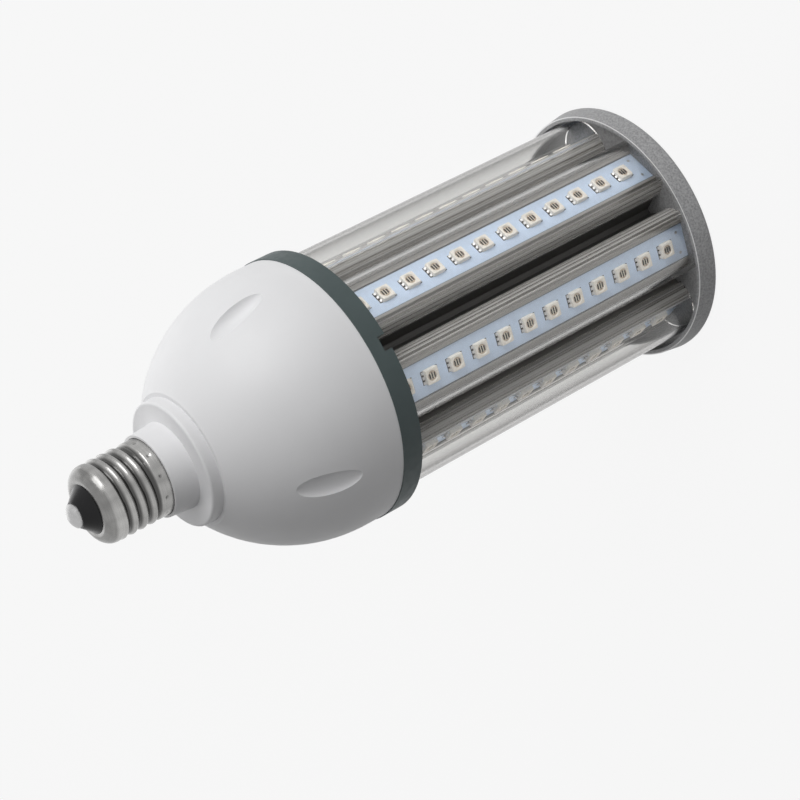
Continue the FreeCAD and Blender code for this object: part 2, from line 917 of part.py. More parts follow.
def neutral_lead():
    """Wire that goes up beside the live one and out over the plug to the shell."""
    x = s.neutral_offset.value
    level = ((plug_top + insulator_bottom) / 2).value
    bend = (s.neck_bore_radius - s.neutral_offset - s.lead_radius).value
    return coded("neutral_lead", wire_through([
        Vector(x, 0, driver_top.value),
        Vector(x, 0, level),
        Vector((shell_inner - s.shell_clearance).value, 0, level),
    ], bend))


def turned_in_code(corners):
    outline = Part.makePolygon([Vector(r, 0, z) for r, z in corners + corners[:1]])
    return Part.Face(outline).revolve(Vector(0, 0, 0), Vector(0, 0, 1), 360)


def cap_screws():
    """Countersunk screws through the end cap."""
    shank = s.screw_radius.value
    head = s.screw_head_radius.value
    screw = turned_in_code([
        (0, 0),
        (head, 0),
        (shank, (s.screw_head - s.screw_clearance).value),
        (shank, s.screw_length.value),
        (0, s.screw_length.value),
    ])
    return coded("cap_screws", placed_at_ports(screw, 0))


def ring_screws():
    """Pan-head screws that hold the ring to the heat sink."""
    shank = s.screw_radius.value
    head = s.screw_head_radius.value
    length = s.screw_length.value
    screw = turned_in_code([
        (0, -length),
        (shank, -length),
        (shank, 0),
        (head, 0),
        (head, s.screw_head_edge_height.value),
        (s.screw_head_top_radius.value, s.screw_head.value),
        (0, s.screw_head.value),
    ])
    return coded("ring_screws", placed_at_ports(screw, ring_top.value))


def placed_at_ports(screw, height):
    return Part.makeCompound(
        [screw.translated(Vector(x.value, y.value, height)) for x, y in port_places()])


def build():
    pieces = [end_cap(), cap_screws(), heat_sink(), link_board(), lower_ring(), ring_screws()]
    for index in range(FACETS):
        pieces.append(led_board(index))
        pieces.append(led_row(index))
        pieces.append(cover(index))
    pieces += [driver_housing(), driver_board(), driver_transformer(), driver_capacitor()]
    pieces += [driver_choke(), driver_rectifier(), led_leads(), live_lead(), neutral_lead()]
    pieces += [screw_shell(), base_insulator(), centre_contact()]
    doc.recompute()
    return pieces


def check(pieces):
    """Stop if a feature failed or a piece has no sound shape."""
    for item in doc.Objects:
        if "Invalid" in item.State or "Error" in item.State:
            raise RuntimeError("%s failed: %s" % (item.Name, item.State))
    for piece in pieces:
        if piece.Shape.isNull() or not piece.Shape.isValid() or not piece.Shape.Solids:
            raise RuntimeError("%s has no sound solid" % piece.Label)


def write(pieces):
    os.makedirs("parts", exist_ok=True)
    for piece in pieces:
        piece.Shape.exportStep("parts/%s.step" % piece.Label)
        print("%-20s %2d solids %10.1f mm3" % (piece.Label, len(piece.Shape.Solids), piece.Shape.Volume))


made = build()
check(made)
write(made)
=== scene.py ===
import math

import bmesh
import bpy
from bpy.props import FloatProperty, FloatVectorProperty, IntProperty, PointerProperty
from mathutils import Matrix, Vector


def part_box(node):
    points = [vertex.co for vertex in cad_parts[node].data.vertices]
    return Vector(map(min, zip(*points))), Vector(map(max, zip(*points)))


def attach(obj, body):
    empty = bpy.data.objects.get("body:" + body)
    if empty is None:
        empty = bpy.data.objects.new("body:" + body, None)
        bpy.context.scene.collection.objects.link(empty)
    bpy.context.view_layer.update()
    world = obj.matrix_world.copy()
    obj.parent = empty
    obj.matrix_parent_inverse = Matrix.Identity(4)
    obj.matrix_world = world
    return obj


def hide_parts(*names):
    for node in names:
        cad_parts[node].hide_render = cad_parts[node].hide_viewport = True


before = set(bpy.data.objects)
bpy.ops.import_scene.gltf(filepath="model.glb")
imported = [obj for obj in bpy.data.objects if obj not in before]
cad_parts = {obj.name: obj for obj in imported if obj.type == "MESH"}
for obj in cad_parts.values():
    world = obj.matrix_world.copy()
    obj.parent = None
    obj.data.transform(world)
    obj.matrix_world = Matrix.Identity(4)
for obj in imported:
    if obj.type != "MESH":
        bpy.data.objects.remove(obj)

bl_info = {
    "name": "Corn lamp dressing",
    "version": (1, 0, 0),
    "blender": (4, 5, 0),
    "location": "View3D > Sidebar > Corn lamp",
    "description": "Dresses a corn lamp with its thread, LEDs, screws, finishes and a studio",
    "category": "Object",
}

MM = 0.001
TURN = 2 * math.pi
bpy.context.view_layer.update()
ROWS = 7
BACK_ROW_ANGLE = 90.0
ROW_STEP = 360.0 / ROWS
LEDS_IN_ROW = 12
SCREW_CORNERS = (-1, 2, 4)

# Row 1 lies on the +Y side, so the Y of its board is the distance from the axis.
SHELL_LOW, SHELL_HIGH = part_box("screw_shell")
BOARD_LOW, BOARD_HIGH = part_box("led_board_1")
LED_LOW, LED_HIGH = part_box("led_row_1")
SINK_LOW, SINK_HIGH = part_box("heat_sink")
CAP_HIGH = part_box("end_cap")[1]

# Where a finish starts to change and where it has changed, by height or by distance from the axis.
# The lighter edge round the cap's mouth is a painted highlight on a machined edge.
RIM_HIGHLIGHT_HEIGHTS = (CAP_HIGH.z - 0.08 * MM, CAP_HIGH.z - 0.06 * MM)
RIM_HIGHLIGHT_RADII = (44.1 * MM, 44.3 * MM)
# Painted shade in the heat sink's valleys fades out between these radii.
VALLEY_SHADE_RADII = (27.5 * MM, 32.5 * MM)
COVER_FOOT_RADII = (37.0 * MM, 36.2 * MM)
# The same for the painted shade along the edge of a board where it meets the deck, in from its side.
BOARD_EDGE_SHADE = (0.35 * MM, 0.15 * MM)
# The same for the covers, by how far they are seen from the side: 0 is face-on, 1 edge-on.
ASLANT = (0.12, 0.5)
EDGE_ON = (0.5, 0.7)
# Most values of a noise lie in this part of its range.
NOISE_MIDDLE = (0.3, 0.7)


def length(name, description, millimetres):
    return FloatProperty(name=name, description=description, default=millimetres * MM, unit="LENGTH")


def number(name, description, default):
    return FloatProperty(name=name, description=description, default=default)


def power(name, description, watts):
    return FloatProperty(name=name, description=description, default=watts, unit="POWER")


def tint(name, description, *channels):
    return FloatVectorProperty(name=name, description=description, default=channels, subtype="COLOR")


def direction(name, description, *parts):
    return FloatVectorProperty(name=name, description=description, default=parts, subtype="DIRECTION")


def place(name, description, *metres):
    return FloatVectorProperty(
        name=name, description=description, default=metres, subtype="TRANSLATION", unit="LENGTH")


class ShellSizes(bpy.types.PropertyGroup):
    """Sizes of the threaded shell of the screw base."""

    crest_radius: length("Crest radius", "Radius over the thread", SHELL_HIGH.x / MM)
    root_radius: length("Root radius", "Radius between the turns of the thread", 12.1)
    band_radius: length("Band radius", "Radius of the plain band at the rim", 13.05)
    band_height: length("Band height", "Height of the plain band", 4.6)
    band_ease: length("Band ease", "Height over which the band runs into the thread", 0.9)
    flare: length("Flare", "Widening of the band at its lower edge", 0.12)
    pitch: length("Pitch", "Rise of the thread in one turn", 3.629)
    thread_turn: number("Thread turn", "Share of a turn by which the thread is turned", 0.465)
    crest_power: number("Crest power", "Power that makes the crests broad, below 1, or narrow", 0.8)
    run_out_level: number("Run-out level", "Share of the thread's depth at the round end", 0.85)
    shoulder: length("Shoulder", "Height of the round end of the shell", 4.2)
    mouth_radius: length("Mouth radius", "Radius at which the round end meets its flat lip", 9.1)
    lip: length("Lip", "Width of the flat lip round the insulator", 0.8)
    lip_drop: length("Lip drop", "Fall of the lip towards the insulator", 0.1)
    wall: length("Wall", "Thickness of the sheet", 0.45)
    dent_count: IntProperty(name="Dents", description="Punched dents round the band", default=11, min=0)
    dent_turn: FloatProperty(
        name="Dent turn", description="Direction of one dent", default=math.radians(-67), subtype="ANGLE")
    dent_depth: length("Dent depth", "Depth of a punched dent", 0.5)
    dent_radius: length("Dent radius", "Radius of a punched dent", 0.85)
    dent_level: number("Dent level", "Place of the dents as a share of the band's height", 0.45)


class LedSizes(bpy.types.PropertyGroup):
    """Sizes of one LED and of its leads."""

    side: length("Side", "Side of the square body", 5.0)
    height: length("Height", "Height of the body above the board", 1.6)
    seat: length("Seat", "Gap between the body and the board", 0.02)
    corner_reach: number("Corner reach", "Reach of the cut corners as a share of half the side", 1.36)
    well_radius: length("Well radius", "Radius of the round well", 1.9)
    well_depth: length("Well depth", "Depth of the round well", 0.4)
    well_taper: number("Well taper", "Radius of the well's floor as a share of its mouth", 0.86)
    edge: length("Edge", "Width of the bevel round the top", 0.15)
    lead_pitch: length("Lead pitch", "Distance between two leads", 1.6)
    lead_width: length("Lead width", "Width of a lead", 0.9)
    lead_reach: length("Lead reach", "Reach of a lead past the body", 0.7)
    lead_thickness: length("Lead thickness", "Thickness of a lead", 0.25)
    lead_rise: number("Lead rise", "Height of a lead's leg as a share of the body", 0.5)
    lead_middle: number("Lead middle", "Middle of a lead's leg as a share of the body", 0.3)
    pad_border: length("Pad border", "Width of the dark pad seen round a lead", 0.22)
    pad_film: length("Pad film", "Thickness of the dark pad", 0.06)
    die_pitch: length("Die pitch", "Distance between two dies along the row", 0.95)
    die_width: length("Die width", "Width of a die along the row", 0.5)
    die_length: length("Die length", "Length of the middle die across the row", 2.1)
    die_height: length("Die height", "Height of a die over the well's floor", 0.12)
    outer_die: number("Outer die", "Length of the outer dies as a share of the middle one", 0.8)
    strip_width: number("Strip width", "Width of a plated strip as a share of a die", 0.5)


class TrimSizes(bpy.types.PropertyGroup):
    """Sizes of the pads at the ends of the boards and of the screws in the end cap."""

    pad_radius: length("Pad radius", "Radius of a solder pad", 0.55)
    pad_top_radius: length("Pad top radius", "Radius of the flat top of a pad", 0.38)
    pad_wall: length("Pad wall", "Height of the upright edge of a pad", 0.05)
    pad_height: length("Pad height", "Height of a pad", 0.1)
    pad_low_inset: length("Low inset", "Distance of the pads from the end at the cap", 3.0)
    pad_high_inset: length("High inset", "Distance of the pads from the end at the ring", 1.6)
    pad_offset: length("Pad offset", "Distance of the pads from the middle of the board", 3.6)
    screw_distance: length("Screw distance", "Distance of a screw from the lamp's axis", 17.5)
    face_radius: length("Face radius", "Radius of the flat face of a screw", 2.3)
    head_radius: length("Head radius", "Largest radius of the head", 2.5)
    head_edge: length("Head edge", "Height of the sloping edge of the face", 0.15)
    head_height: length("Head height", "Height of the countersunk head", 1.6)
    shank_radius: length("Shank radius", "Radius of the shank", 1.25)
    cross_length: length("Cross length", "Length of the cross recess", 2.6)
    cross_width: length("Cross width", "Width of the arms of the cross recess", 0.55)
    cross_depth: length("Cross depth", "Depth of the cross recess", 0.9)


class FinishColours(bpy.types.PropertyGroup):
    """Colours of the finishes, in linear light."""

    dome: tint("Dome", "White moulded plastic", 0.785, 0.785, 0.795)
    ring: tint("Ring", "Slate plastic", 0.078, 0.102, 0.103)
    cast: tint("Cast metal", "Blasted end cap", 0.37, 0.37, 0.375)
    # Painted highlight: a much lighter colour for the machined edge round the cap's mouth.
    rim_highlight: tint("Rim highlight", "Machined edge of the end cap", 0.86, 0.86, 0.86)
    extruded: tint("Extruded metal", "Heat sink", 0.40, 0.388, 0.368)
    cover_clear: tint("Cover", "Clear plastic of the covers, face-on", 0.9, 0.898, 0.89)
    cover_haze: tint("Cover haze", "Tint of the covers where they are seen aslant", 0.6, 0.595, 0.585)
    cover_side: tint("Cover side", "Tint of the covers where they are seen edge-on", 0.2, 0.195, 0.187)
    cover_foot: tint("Cover foot", "Tint of the ribbed feet of the covers", 0.66, 0.65, 0.63)
    board: tint("Board", "Pale solder mask", 0.60, 0.72, 0.90)
    board_pad: tint("Board pad", "Solder pads at the ends of the boards", 0.62, 0.62, 0.63)
    body: tint("LED body", "Cream moulding", 0.92, 0.87, 0.79)
    well: tint("LED well", "Floor of the well", 0.56, 0.45, 0.34)
    die: tint("Die", "Dark dies", 0.04, 0.032, 0.027)
    strip: tint("Frame strip", "Plated strips between the dies", 0.82, 0.76, 0.64)
    lead: tint("Lead", "Tinned leads", 0.92, 0.91, 0.90)
    pad: tint("Pad", "Dark pads under the leads", 0.035, 0.03, 0.028)
    nickel: tint("Nickel", "Plated shell", 0.52, 0.515, 0.505)
    insulator: tint("Insulator", "Black insulator of the screw base", 0.01, 0.01, 0.011)
    solder: tint("Solder", "Centre contact", 0.5, 0.5, 0.5)
    steel: tint("Steel", "Screws", 0.56, 0.56, 0.57)
    circuit: tint("Circuit board", "Green boards of the driver", 0.06, 0.20, 0.10)
    ferrite: tint("Ferrite", "Cores of the transformer and the choke", 0.05, 0.05, 0.055)
    can: tint("Can", "Black parts of the driver", 0.03, 0.03, 0.035)
    wire: tint("Wire", "Red insulation of the leads", 0.55, 0.05, 0.04)


class StageSettings(bpy.types.PropertyGroup):
    """Camera and light of the studio."""

    lens: number("Lens", "Focal length in millimetres", 106.91)
    sensor: number("Sensor", "Width of the camera's sensor in millimetres", 36.0)
    camera_place: place("Camera", "Place of the camera", -0.04694, -0.67426, 0.49511)
    camera_right: direction("Right", "Direction to the right of the picture", -0.49249, -0.41245, -0.76638)
    camera_up: direction("Up", "Direction to the top of the picture", 0.86938, -0.27391, -0.41127)
    world_light: number("World light", "Strength of the soft light on its bright side", 0.8)
    world_shade: number("World shade", "Strength of the soft light on its dark side", 0.05)
    world_way: direction("World way", "Bright side: right, up and back in the picture", -0.6, 0.75, 0.5)
    fade_start: number("Fade start", "Where the soft light starts to grow, from -1 to 1", -0.3)
    fade_end: number("Fade end", "Where the soft light is full, from -1 to 1", 0.9)
    key_power: power("Key light", "Power of the large light", 5.0)
    key_place: place("Key place", "From the lamp: right, up and back in the picture", -0.45, 0.65, 0.75)
    key_size: length("Key size", "Side of the large light", 700)
    fill_power: power("Fill light", "Power of the light from behind", 2.0)
    fill_place: place("Fill place", "From the lamp, along the axes", 0.45, 0.85, 0.3)
    fill_size: length("Fill size", "Side of the light from behind", 900)
    floor_side: length("Floor side", "Side of the floor", 20000)
    floor_drop: length("Floor drop", "Gap between the lamp and the floor", 0.1)
    floor_grey: number("Floor grey", "Grey of the floor as it throws light back", 0.4)
    floor_glow: number("Floor white", "Share of plain white in the floor as it is seen", 0.9)
    sky_white: number("Sky white", "Strength of the surround as it is seen", 0.95)


class LampSettings(bpy.types.PropertyGroup):
    """All settings of the lamp."""

    shell: PointerProperty(type=ShellSizes)
    led: PointerProperty(type=LedSizes)
    trim: PointerProperty(type=TrimSizes)
    finish: PointerProperty(type=FinishColours)
    stage: PointerProperty(type=StageSettings)


def settings():
    return bpy.context.scene.corn_lamp


def deselect():
    bpy.ops.object.select_all(action="DESELECT")


def select_only(piece):
    deselect()
    piece.select_set(True)
    bpy.context.view_layer.objects.active = piece


def add_box(size, centre):
    """A box with its size and place in its mesh."""
    deselect()
    bpy.ops.mesh.primitive_cube_add(size=1, location=centre)
    box = bpy.context.object
    box.scale = size
    select_only(box)
    bpy.ops.object.transform_apply(location=True, rotation=True, scale=True)
    return box


def circle(radius, height):
    """A ring with one radius and one height."""
    return lambda angle: (radius, height)


def place_selected(piece, ring):
    """Move the selected vertices to a ring, given as a function of the angle."""
    mesh = bmesh.from_edit_mesh(piece.data)
    for vertex in mesh.verts:
        if vertex.select:
            angle = math.atan2(vertex.co.y, vertex.co.x)
            radius, height = ring(angle)
            vertex.co = (radius * math.cos(angle), radius * math.sin(angle), height)
    bmesh.update_edit_mesh(piece.data)


def lofted(name, rings, facets, fill_start=False, fill_end=False):
    """Extrude a circle from ring to ring; each ring gives radius and height for an angle."""
    deselect()
    bpy.ops.mesh.primitive_circle_add(vertices=facets, radius=MM)
    piece = bpy.context.object
    piece.name = name
    bpy.ops.object.mode_set(mode="EDIT")
    bpy.ops.mesh.select_all(action="SELECT")
    if fill_start:
        bpy.ops.mesh.duplicate()
        place_selected(piece, rings[0])
        bpy.ops.mesh.edge_face_add()
        bpy.ops.mesh.select_all(action="INVERT")
    place_selected(piece, rings[0])
    for ring in rings[1:]:
        bpy.ops.mesh.extrude_region_move()
        place_selected(piece, ring)
    if fill_end:
        bpy.ops.mesh.edge_face_add()
    bpy.ops.mesh.select_all(action="SELECT")
    bpy.ops.mesh.remove_doubles(threshold=0.001 * MM)
    bpy.ops.mesh.normals_make_consistent(inside=False)
    bpy.ops.object.mode_set(mode="OBJECT")
    return piece


def joined(name, pieces):
    """Join pieces into the first one."""
    deselect()
    for piece in pieces:
        piece.select_set(True)
    bpy.context.view_layer.objects.active = pieces[0]
    bpy.ops.object.join()
    pieces[0].name = name
    pieces[0].data.name = name
    return pieces[0]


def copied(piece, matrix):
    """A copy with its own mesh, moved by a matrix."""
    copy = piece.copy()
    copy.data = piece.data.copy()
    copy.data.transform(matrix)
    bpy.context.collection.objects.link(copy)
    return copy


def smooth(piece, degrees):
    """Shade smoothly across edges that turn less than an angle."""
    select_only(piece)
    bpy.ops.object.shade_smooth_by_angle(angle=math.radians(degrees))


def apply_modifier(piece, kind, **values):
    select_only(piece)
    modifier = piece.modifiers.new(kind.lower(), kind)
    for name, value in values.items():
        setattr(modifier, name, value)
    bpy.ops.object.modifier_apply(modifier=modifier.name)


def paint(piece, material):
    piece.data.materials.clear()
    piece.data.materials.append(material)


def hand_in(piece, slot, *nodes):
    """Let a finished piece ride with the lamp and stand for its CAD nodes."""
    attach(piece, "root")
    if nodes:
        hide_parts(*nodes)


def row_angle(index):
    return math.radians(BACK_ROW_ANGLE + ROW_STEP * index)


def on_row(index, distance, height):
    """Matrix to a place on a row: X along the lamp, Z outwards."""
    local = Matrix(((0, 0, 1, distance), (0, -1, 0, 0), (1, 0, 0, height), (0, 0, 0, 1)))
    return Matrix.Rotation(row_angle(index), 4, "Z") @ local


def new_tree(name):
    """A material with only a Principled shader and an output."""
    material = bpy.data.materials.get(name) or bpy.data.materials.new(name)
    material.use_nodes = True
    tree = material.node_tree
    tree.nodes.clear()
    shader = tree.nodes.new("ShaderNodeBsdfPrincipled")
    output = tree.nodes.new("ShaderNodeOutputMaterial")
    tree.links.new(shader.outputs[0], output.inputs[0])
    return material, tree, shader


def put(tree, socket, value):
    """Set an input, or link it where the value is a socket."""
    if isinstance(value, bpy.types.NodeSocket):
        tree.links.new(value, socket)
    else:
        socket.default_value = value


def set_inputs(tree, made, **values):
    """Set or link the inputs of a node by name."""
    for name, value in values.items():
        put(tree, made.inputs[name.replace("_", " ")], value)
    return made


def node(tree, kind, **values):
    return set_inputs(tree, tree.nodes.new("ShaderNode" + kind), **values)


def calculate(tree, operation, *values):
    made = tree.nodes.new("ShaderNodeMath")
    made.operation = operation
    for socket, value in zip(made.inputs, values):
        put(tree, socket, value)
    return made.outputs[0]


def map_range(tree, value, start, end, low=0.0, high=1.0):
    """A number that goes from low to high as a value goes from start to end."""
    made = node(tree, "MapRange", Value=value, From_Min=start, From_Max=end, To_Min=low, To_Max=high)
    return made.outputs[0]


def spread(tree, pattern, low=0.0, high=1.0):
    """A number that goes from low to high over the middle of a pattern."""
    return map_range(tree, pattern, *NOISE_MIDDLE, low, high)


def place_in(tree, scale=(1, 1, 1)):
    """Object coordinates in metres, scaled."""
    coordinates = tree.nodes.new("ShaderNodeTexCoord")
    return node(tree, "Mapping", Vector=coordinates.outputs["Object"], Scale=scale).outputs[0]


def noise(tree, scale, detail=3.0, stretch=(1, 1, 1)):
    made = node(tree, "TexNoise", Vector=place_in(tree, stretch), Scale=scale, Detail=detail)
    return made.outputs[0]


def height_of(tree):
    """Height of a point above the floor, in metres."""
    return node(tree, "SeparateXYZ", Vector=place_in(tree)).outputs[2]


def distance_from_axis(tree):
    """Distance of a point from the lamp's axis, in metres."""
    parts = node(tree, "SeparateXYZ", Vector=place_in(tree))
    square_x = calculate(tree, "MULTIPLY", parts.outputs[0], parts.outputs[0])
    square_y = calculate(tree, "MULTIPLY", parts.outputs[1], parts.outputs[1])
    return calculate(tree, "SQRT", calculate(tree, "ADD", square_x, square_y))


def blend_colours(tree, factor, first, second):
    made = tree.nodes.new("ShaderNodeMix")
    made.data_type = "RGBA"
    put(tree, made.inputs["Factor"], factor)
    for name, colour in (("A", first), ("B", second)):
        put(tree, made.inputs[name], colour if isinstance(colour, bpy.types.NodeSocket) else (*colour, 1))
    return made.outputs["Result"]


def shaded(colour, share):
    return tuple(channel * share for channel in colour)


def toned(tree, pattern, colour, darkest):
    """A colour that a pattern shades, down to a share of it."""
    return blend_colours(tree, pattern, shaded(colour, darkest), colour)


def bump(tree, shader, height, strength, distance):
    made = node(tree, "Bump", Height=height, Strength=strength, Distance=distance)
    tree.links.new(made.outputs[0], shader.inputs["Normal"])


def mix_into_output(tree, factor, first, second):
    """Let a factor choose between two shaders for the material's surface."""
    mix = tree.nodes.new("ShaderNodeMixShader")
    tree.links.new(factor, mix.inputs[0])
    tree.links.new(first.outputs[0], mix.inputs[1])
    tree.links.new(second.outputs[0], mix.inputs[2])
    output = next(item for item in tree.nodes if item.type == "OUTPUT_MATERIAL")
    tree.links.new(mix.outputs[0], output.inputs[0])


def seen_directly(tree):
    """1 where the eye, a reflection or a view through glass meets the surround, and else 0."""
    path = tree.nodes.new("ShaderNodeLightPath")
    seen = calculate(tree, "MAXIMUM", path.outputs["Is Camera Ray"], path.outputs["Is Glossy Ray"])
    return calculate(tree, "MAXIMUM", seen, path.outputs["Is Transmission Ray"])


def dome_white():
    """White moulded plastic with a fine grain."""
    material, tree, shader = new_tree("dome_white")
    clouds = spread(tree, noise(tree, scale=60.0))
    set_inputs(
        tree, shader,
        Base_Color=toned(tree, clouds, settings().finish.dome, darkest=0.975),
        Roughness=spread(tree, noise(tree, scale=300.0), low=0.42, high=0.5))
    bump(tree, shader, noise(tree, scale=2600.0, detail=2.0), strength=0.05, distance=0.1 * MM)
    return material


def ring_slate():
    """Dull slate plastic."""
    material, tree, shader = new_tree("ring_slate")
    clouds = spread(tree, noise(tree, scale=90.0))
    set_inputs(
        tree, shader,
        Base_Color=toned(tree, clouds, settings().finish.ring, darkest=0.88),
        Roughness=spread(tree, noise(tree, scale=500.0), low=0.42, high=0.55),
        Specular_IOR_Level=0.25)
    bump(tree, shader, noise(tree, scale=3000.0, detail=2.0), strength=0.1, distance=0.1 * MM)
    return material


def cast_grey():
    """Blasted casting with a fine speckle, and a machined edge round its mouth that is lightened as a
    painted highlight.
    """
    material, tree, shader = new_tree("cast_grey")
    finish = settings().finish
    speckle = spread(tree, noise(tree, scale=1500.0, detail=2.0))
    grey = blend_colours(tree, speckle, shaded(finish.cast, 0.62), shaded(finish.cast, 1.1))
    # Painted highlight: the flat edge round the mouth gets a much lighter colour.
    top = map_range(tree, height_of(tree), *RIM_HIGHLIGHT_HEIGHTS)
    rim = map_range(tree, distance_from_axis(tree), *RIM_HIGHLIGHT_RADII)
    edge = calculate(tree, "MULTIPLY", top, rim)
    set_inputs(
        tree, shader,
        Base_Color=blend_colours(tree, edge, grey, finish.rim_highlight),
        Metallic=0.1,
        Roughness=spread(tree, noise(tree, scale=1500.0), low=0.42, high=0.58))
    bump(tree, shader, noise(tree, scale=2600.0), strength=0.25, distance=0.1 * MM)
    return material


def extruded_grey():
    """Drawn metal with die lines along the lamp, dull, and with painted shade down in its valleys."""
    material, tree, shader = new_tree("extruded_grey")
    colour = settings().finish.extruded
    lines = spread(tree, noise(tree, scale=1.0, stretch=(1300, 1300, 0.5)))
    metal = toned(tree, lines, colour, darkest=0.82)
    # Painted shade: near the axis, the valleys between the rows are darkened to three tenths of the metal's
    # colour.
    out_of_painted_shade = map_range(tree, distance_from_axis(tree), *VALLEY_SHADE_RADII)
    set_inputs(
        tree, shader,
        Base_Color=blend_colours(tree, out_of_painted_shade, shaded(colour, 0.3), metal),
        Metallic=0.25,
        Roughness=spread(tree, lines, low=0.48, high=0.62))
    bump(tree, shader, lines, strength=0.25, distance=0.1 * MM)
    return material


def clear_cover():
    """Drawn plastic: clear face-on, greyer aslant and edge-on, with tinted feet that fine ribs run along.

    Shadow rays pass through it, so that the boards are lit.
    """
    material, tree, shader = new_tree("clear_cover")
    finish = settings().finish
    distance = distance_from_axis(tree)
    ribs = tree.nodes.new("ShaderNodeTexNoise")
    ribs.noise_dimensions = "1D"
    set_inputs(tree, ribs, W=distance, Scale=1000.0, Detail=2.0)
    lines = spread(tree, ribs.outputs[0])
    foot = map_range(tree, distance, *COVER_FOOT_RADII)
    facing = node(tree, "LayerWeight", Blend=0.5).outputs["Facing"]
    aslant = map_range(tree, facing, *ASLANT)
    edge_on = map_range(tree, facing, *EDGE_ON)
    haze = blend_colours(tree, aslant, finish.cover_clear, finish.cover_haze)
    wall = blend_colours(tree, edge_on, haze, finish.cover_side)
    veil = calculate(tree, "MULTIPLY", foot, spread(tree, lines, low=0.05, high=0.55))
    gloss = calculate(tree, "MULTIPLY", foot, spread(tree, lines, low=0.05, high=0.2))
    set_inputs(
        tree, shader,
        Base_Color=blend_colours(tree, foot, wall, finish.cover_foot),
        Transmission_Weight=calculate(tree, "SUBTRACT", 1.0, veil),
        Roughness=calculate(tree, "ADD", gloss, 0.03),
        IOR=1.49)
    bump(tree, shader, calculate(tree, "MULTIPLY", foot, lines), strength=0.25, distance=0.2 * MM)
    path = tree.nodes.new("ShaderNodeLightPath")
    open_way = node(tree, "BsdfTransparent", Color=(0.9, 0.9, 0.9, 1))
    mix_into_output(tree, path.outputs["Is Shadow Ray"], shader, open_way)
    return material


def board_mask():
    """Pale solder mask with painted shade along its edges where it meets the deck, found from the distance
    to the axis.
    """
    material, tree, shader = new_tree("board_mask")
    colour = settings().finish.board
    weave = spread(tree, noise(tree, scale=700.0))
    mask = toned(tree, weave, colour, darkest=0.93)
    half = (BOARD_HIGH.x - BOARD_LOW.x) / 2
    edge_shade_radii = [math.hypot(BOARD_HIGH.y, half - inset) for inset in BOARD_EDGE_SHADE]
    # Painted shade: the board's edges are darkened to about a fifth of its colour.
    edge = map_range(tree, distance_from_axis(tree), *edge_shade_radii)
    set_inputs(
        tree, shader,
        Base_Color=blend_colours(tree, edge, mask, shaded(colour, 0.22)),
        Roughness=spread(tree, noise(tree, scale=900.0), low=0.3, high=0.42))
    bump(tree, shader, noise(tree, scale=1800.0, detail=2.0), strength=0.04, distance=0.1 * MM)
    return material


def moulded(name, colour, roughness, grain=1500.0, specular=0.5):
    """Plain moulded plastic or ceramic with a little change of tone."""
    material, tree, shader = new_tree(name)
    clouds = spread(tree, noise(tree, scale=grain))
    set_inputs(
        tree, shader,
        Base_Color=toned(tree, clouds, colour, darkest=0.86),
        Roughness=spread(tree, clouds, roughness, roughness * 1.25),
        Specular_IOR_Level=specular)
    bump(tree, shader, noise(tree, scale=grain * 1.6), strength=0.06, distance=0.05 * MM)
    return material


def plated(name, colour, roughness, grain=500.0):
    """Bright metal with fine scuffs."""
    material, tree, shader = new_tree(name)
    scuffs = spread(tree, noise(tree, scale=grain, detail=5.0))
    set_inputs(
        tree, shader,
        Base_Color=toned(tree, scuffs, colour, darkest=0.86),
        Metallic=1.0,
        Roughness=spread(tree, scuffs, roughness, roughness * 1.6))
    bump(tree, shader, noise(tree, scale=grain * 3, detail=4.0), strength=0.04, distance=0.05 * MM)
    return material


def screw_steel():
    return plated("screw_steel", settings().finish.steel, roughness=0.3)


def nickel():
    """Plated shell: streaks that run round it, random dark patches along it that are a painted reflection,
    and painted shade in the grooves between the turns and on the round end.
    """
    material, tree, shader = new_tree("nickel")
    colour = settings().finish.nickel
    sizes = settings().shell
    streaks = spread(tree, noise(tree, scale=1.0, detail=4.0, stretch=(120, 120, 2600)))
    painted_reflection_patches = spread(tree, noise(tree, scale=1.0, detail=2.0, stretch=(150, 150, 40)))
    # Painted reflection: random patches along the shell darken it down to half, standing for the bands a
    # shiny shell mirrors.
    plate = toned(tree, streaks, colour, darkest=0.8)
    bright = blend_colours(tree, painted_reflection_patches, shaded(colour, 0.5), plate)
    # Painted shade: the grooves between the turns fall to about a sixth of the colour, and the round end
    # stays half shaded.
    groove_end, crest_start = sizes.root_radius + 0.2 * MM, sizes.band_radius - 0.15 * MM
    crest = map_range(tree, distance_from_axis(tree), groove_end, crest_start)
    end_start = SHELL_HIGH.z - sizes.shoulder
    round_end = map_range(tree, height_of(tree), end_start, end_start + 0.6 * MM, high=0.5)
    out_of_painted_shade = calculate(tree, "MAXIMUM", crest, round_end)
    set_inputs(
        tree, shader,
        Base_Color=blend_colours(tree, out_of_painted_shade, shaded(colour, 0.16), bright),
        Metallic=1.0,
        Roughness=spread(tree, noise(tree, scale=900.0, detail=4.0), low=0.2, high=0.3))
    bump(tree, shader, streaks, strength=0.05, distance=0.05 * MM)
    return material


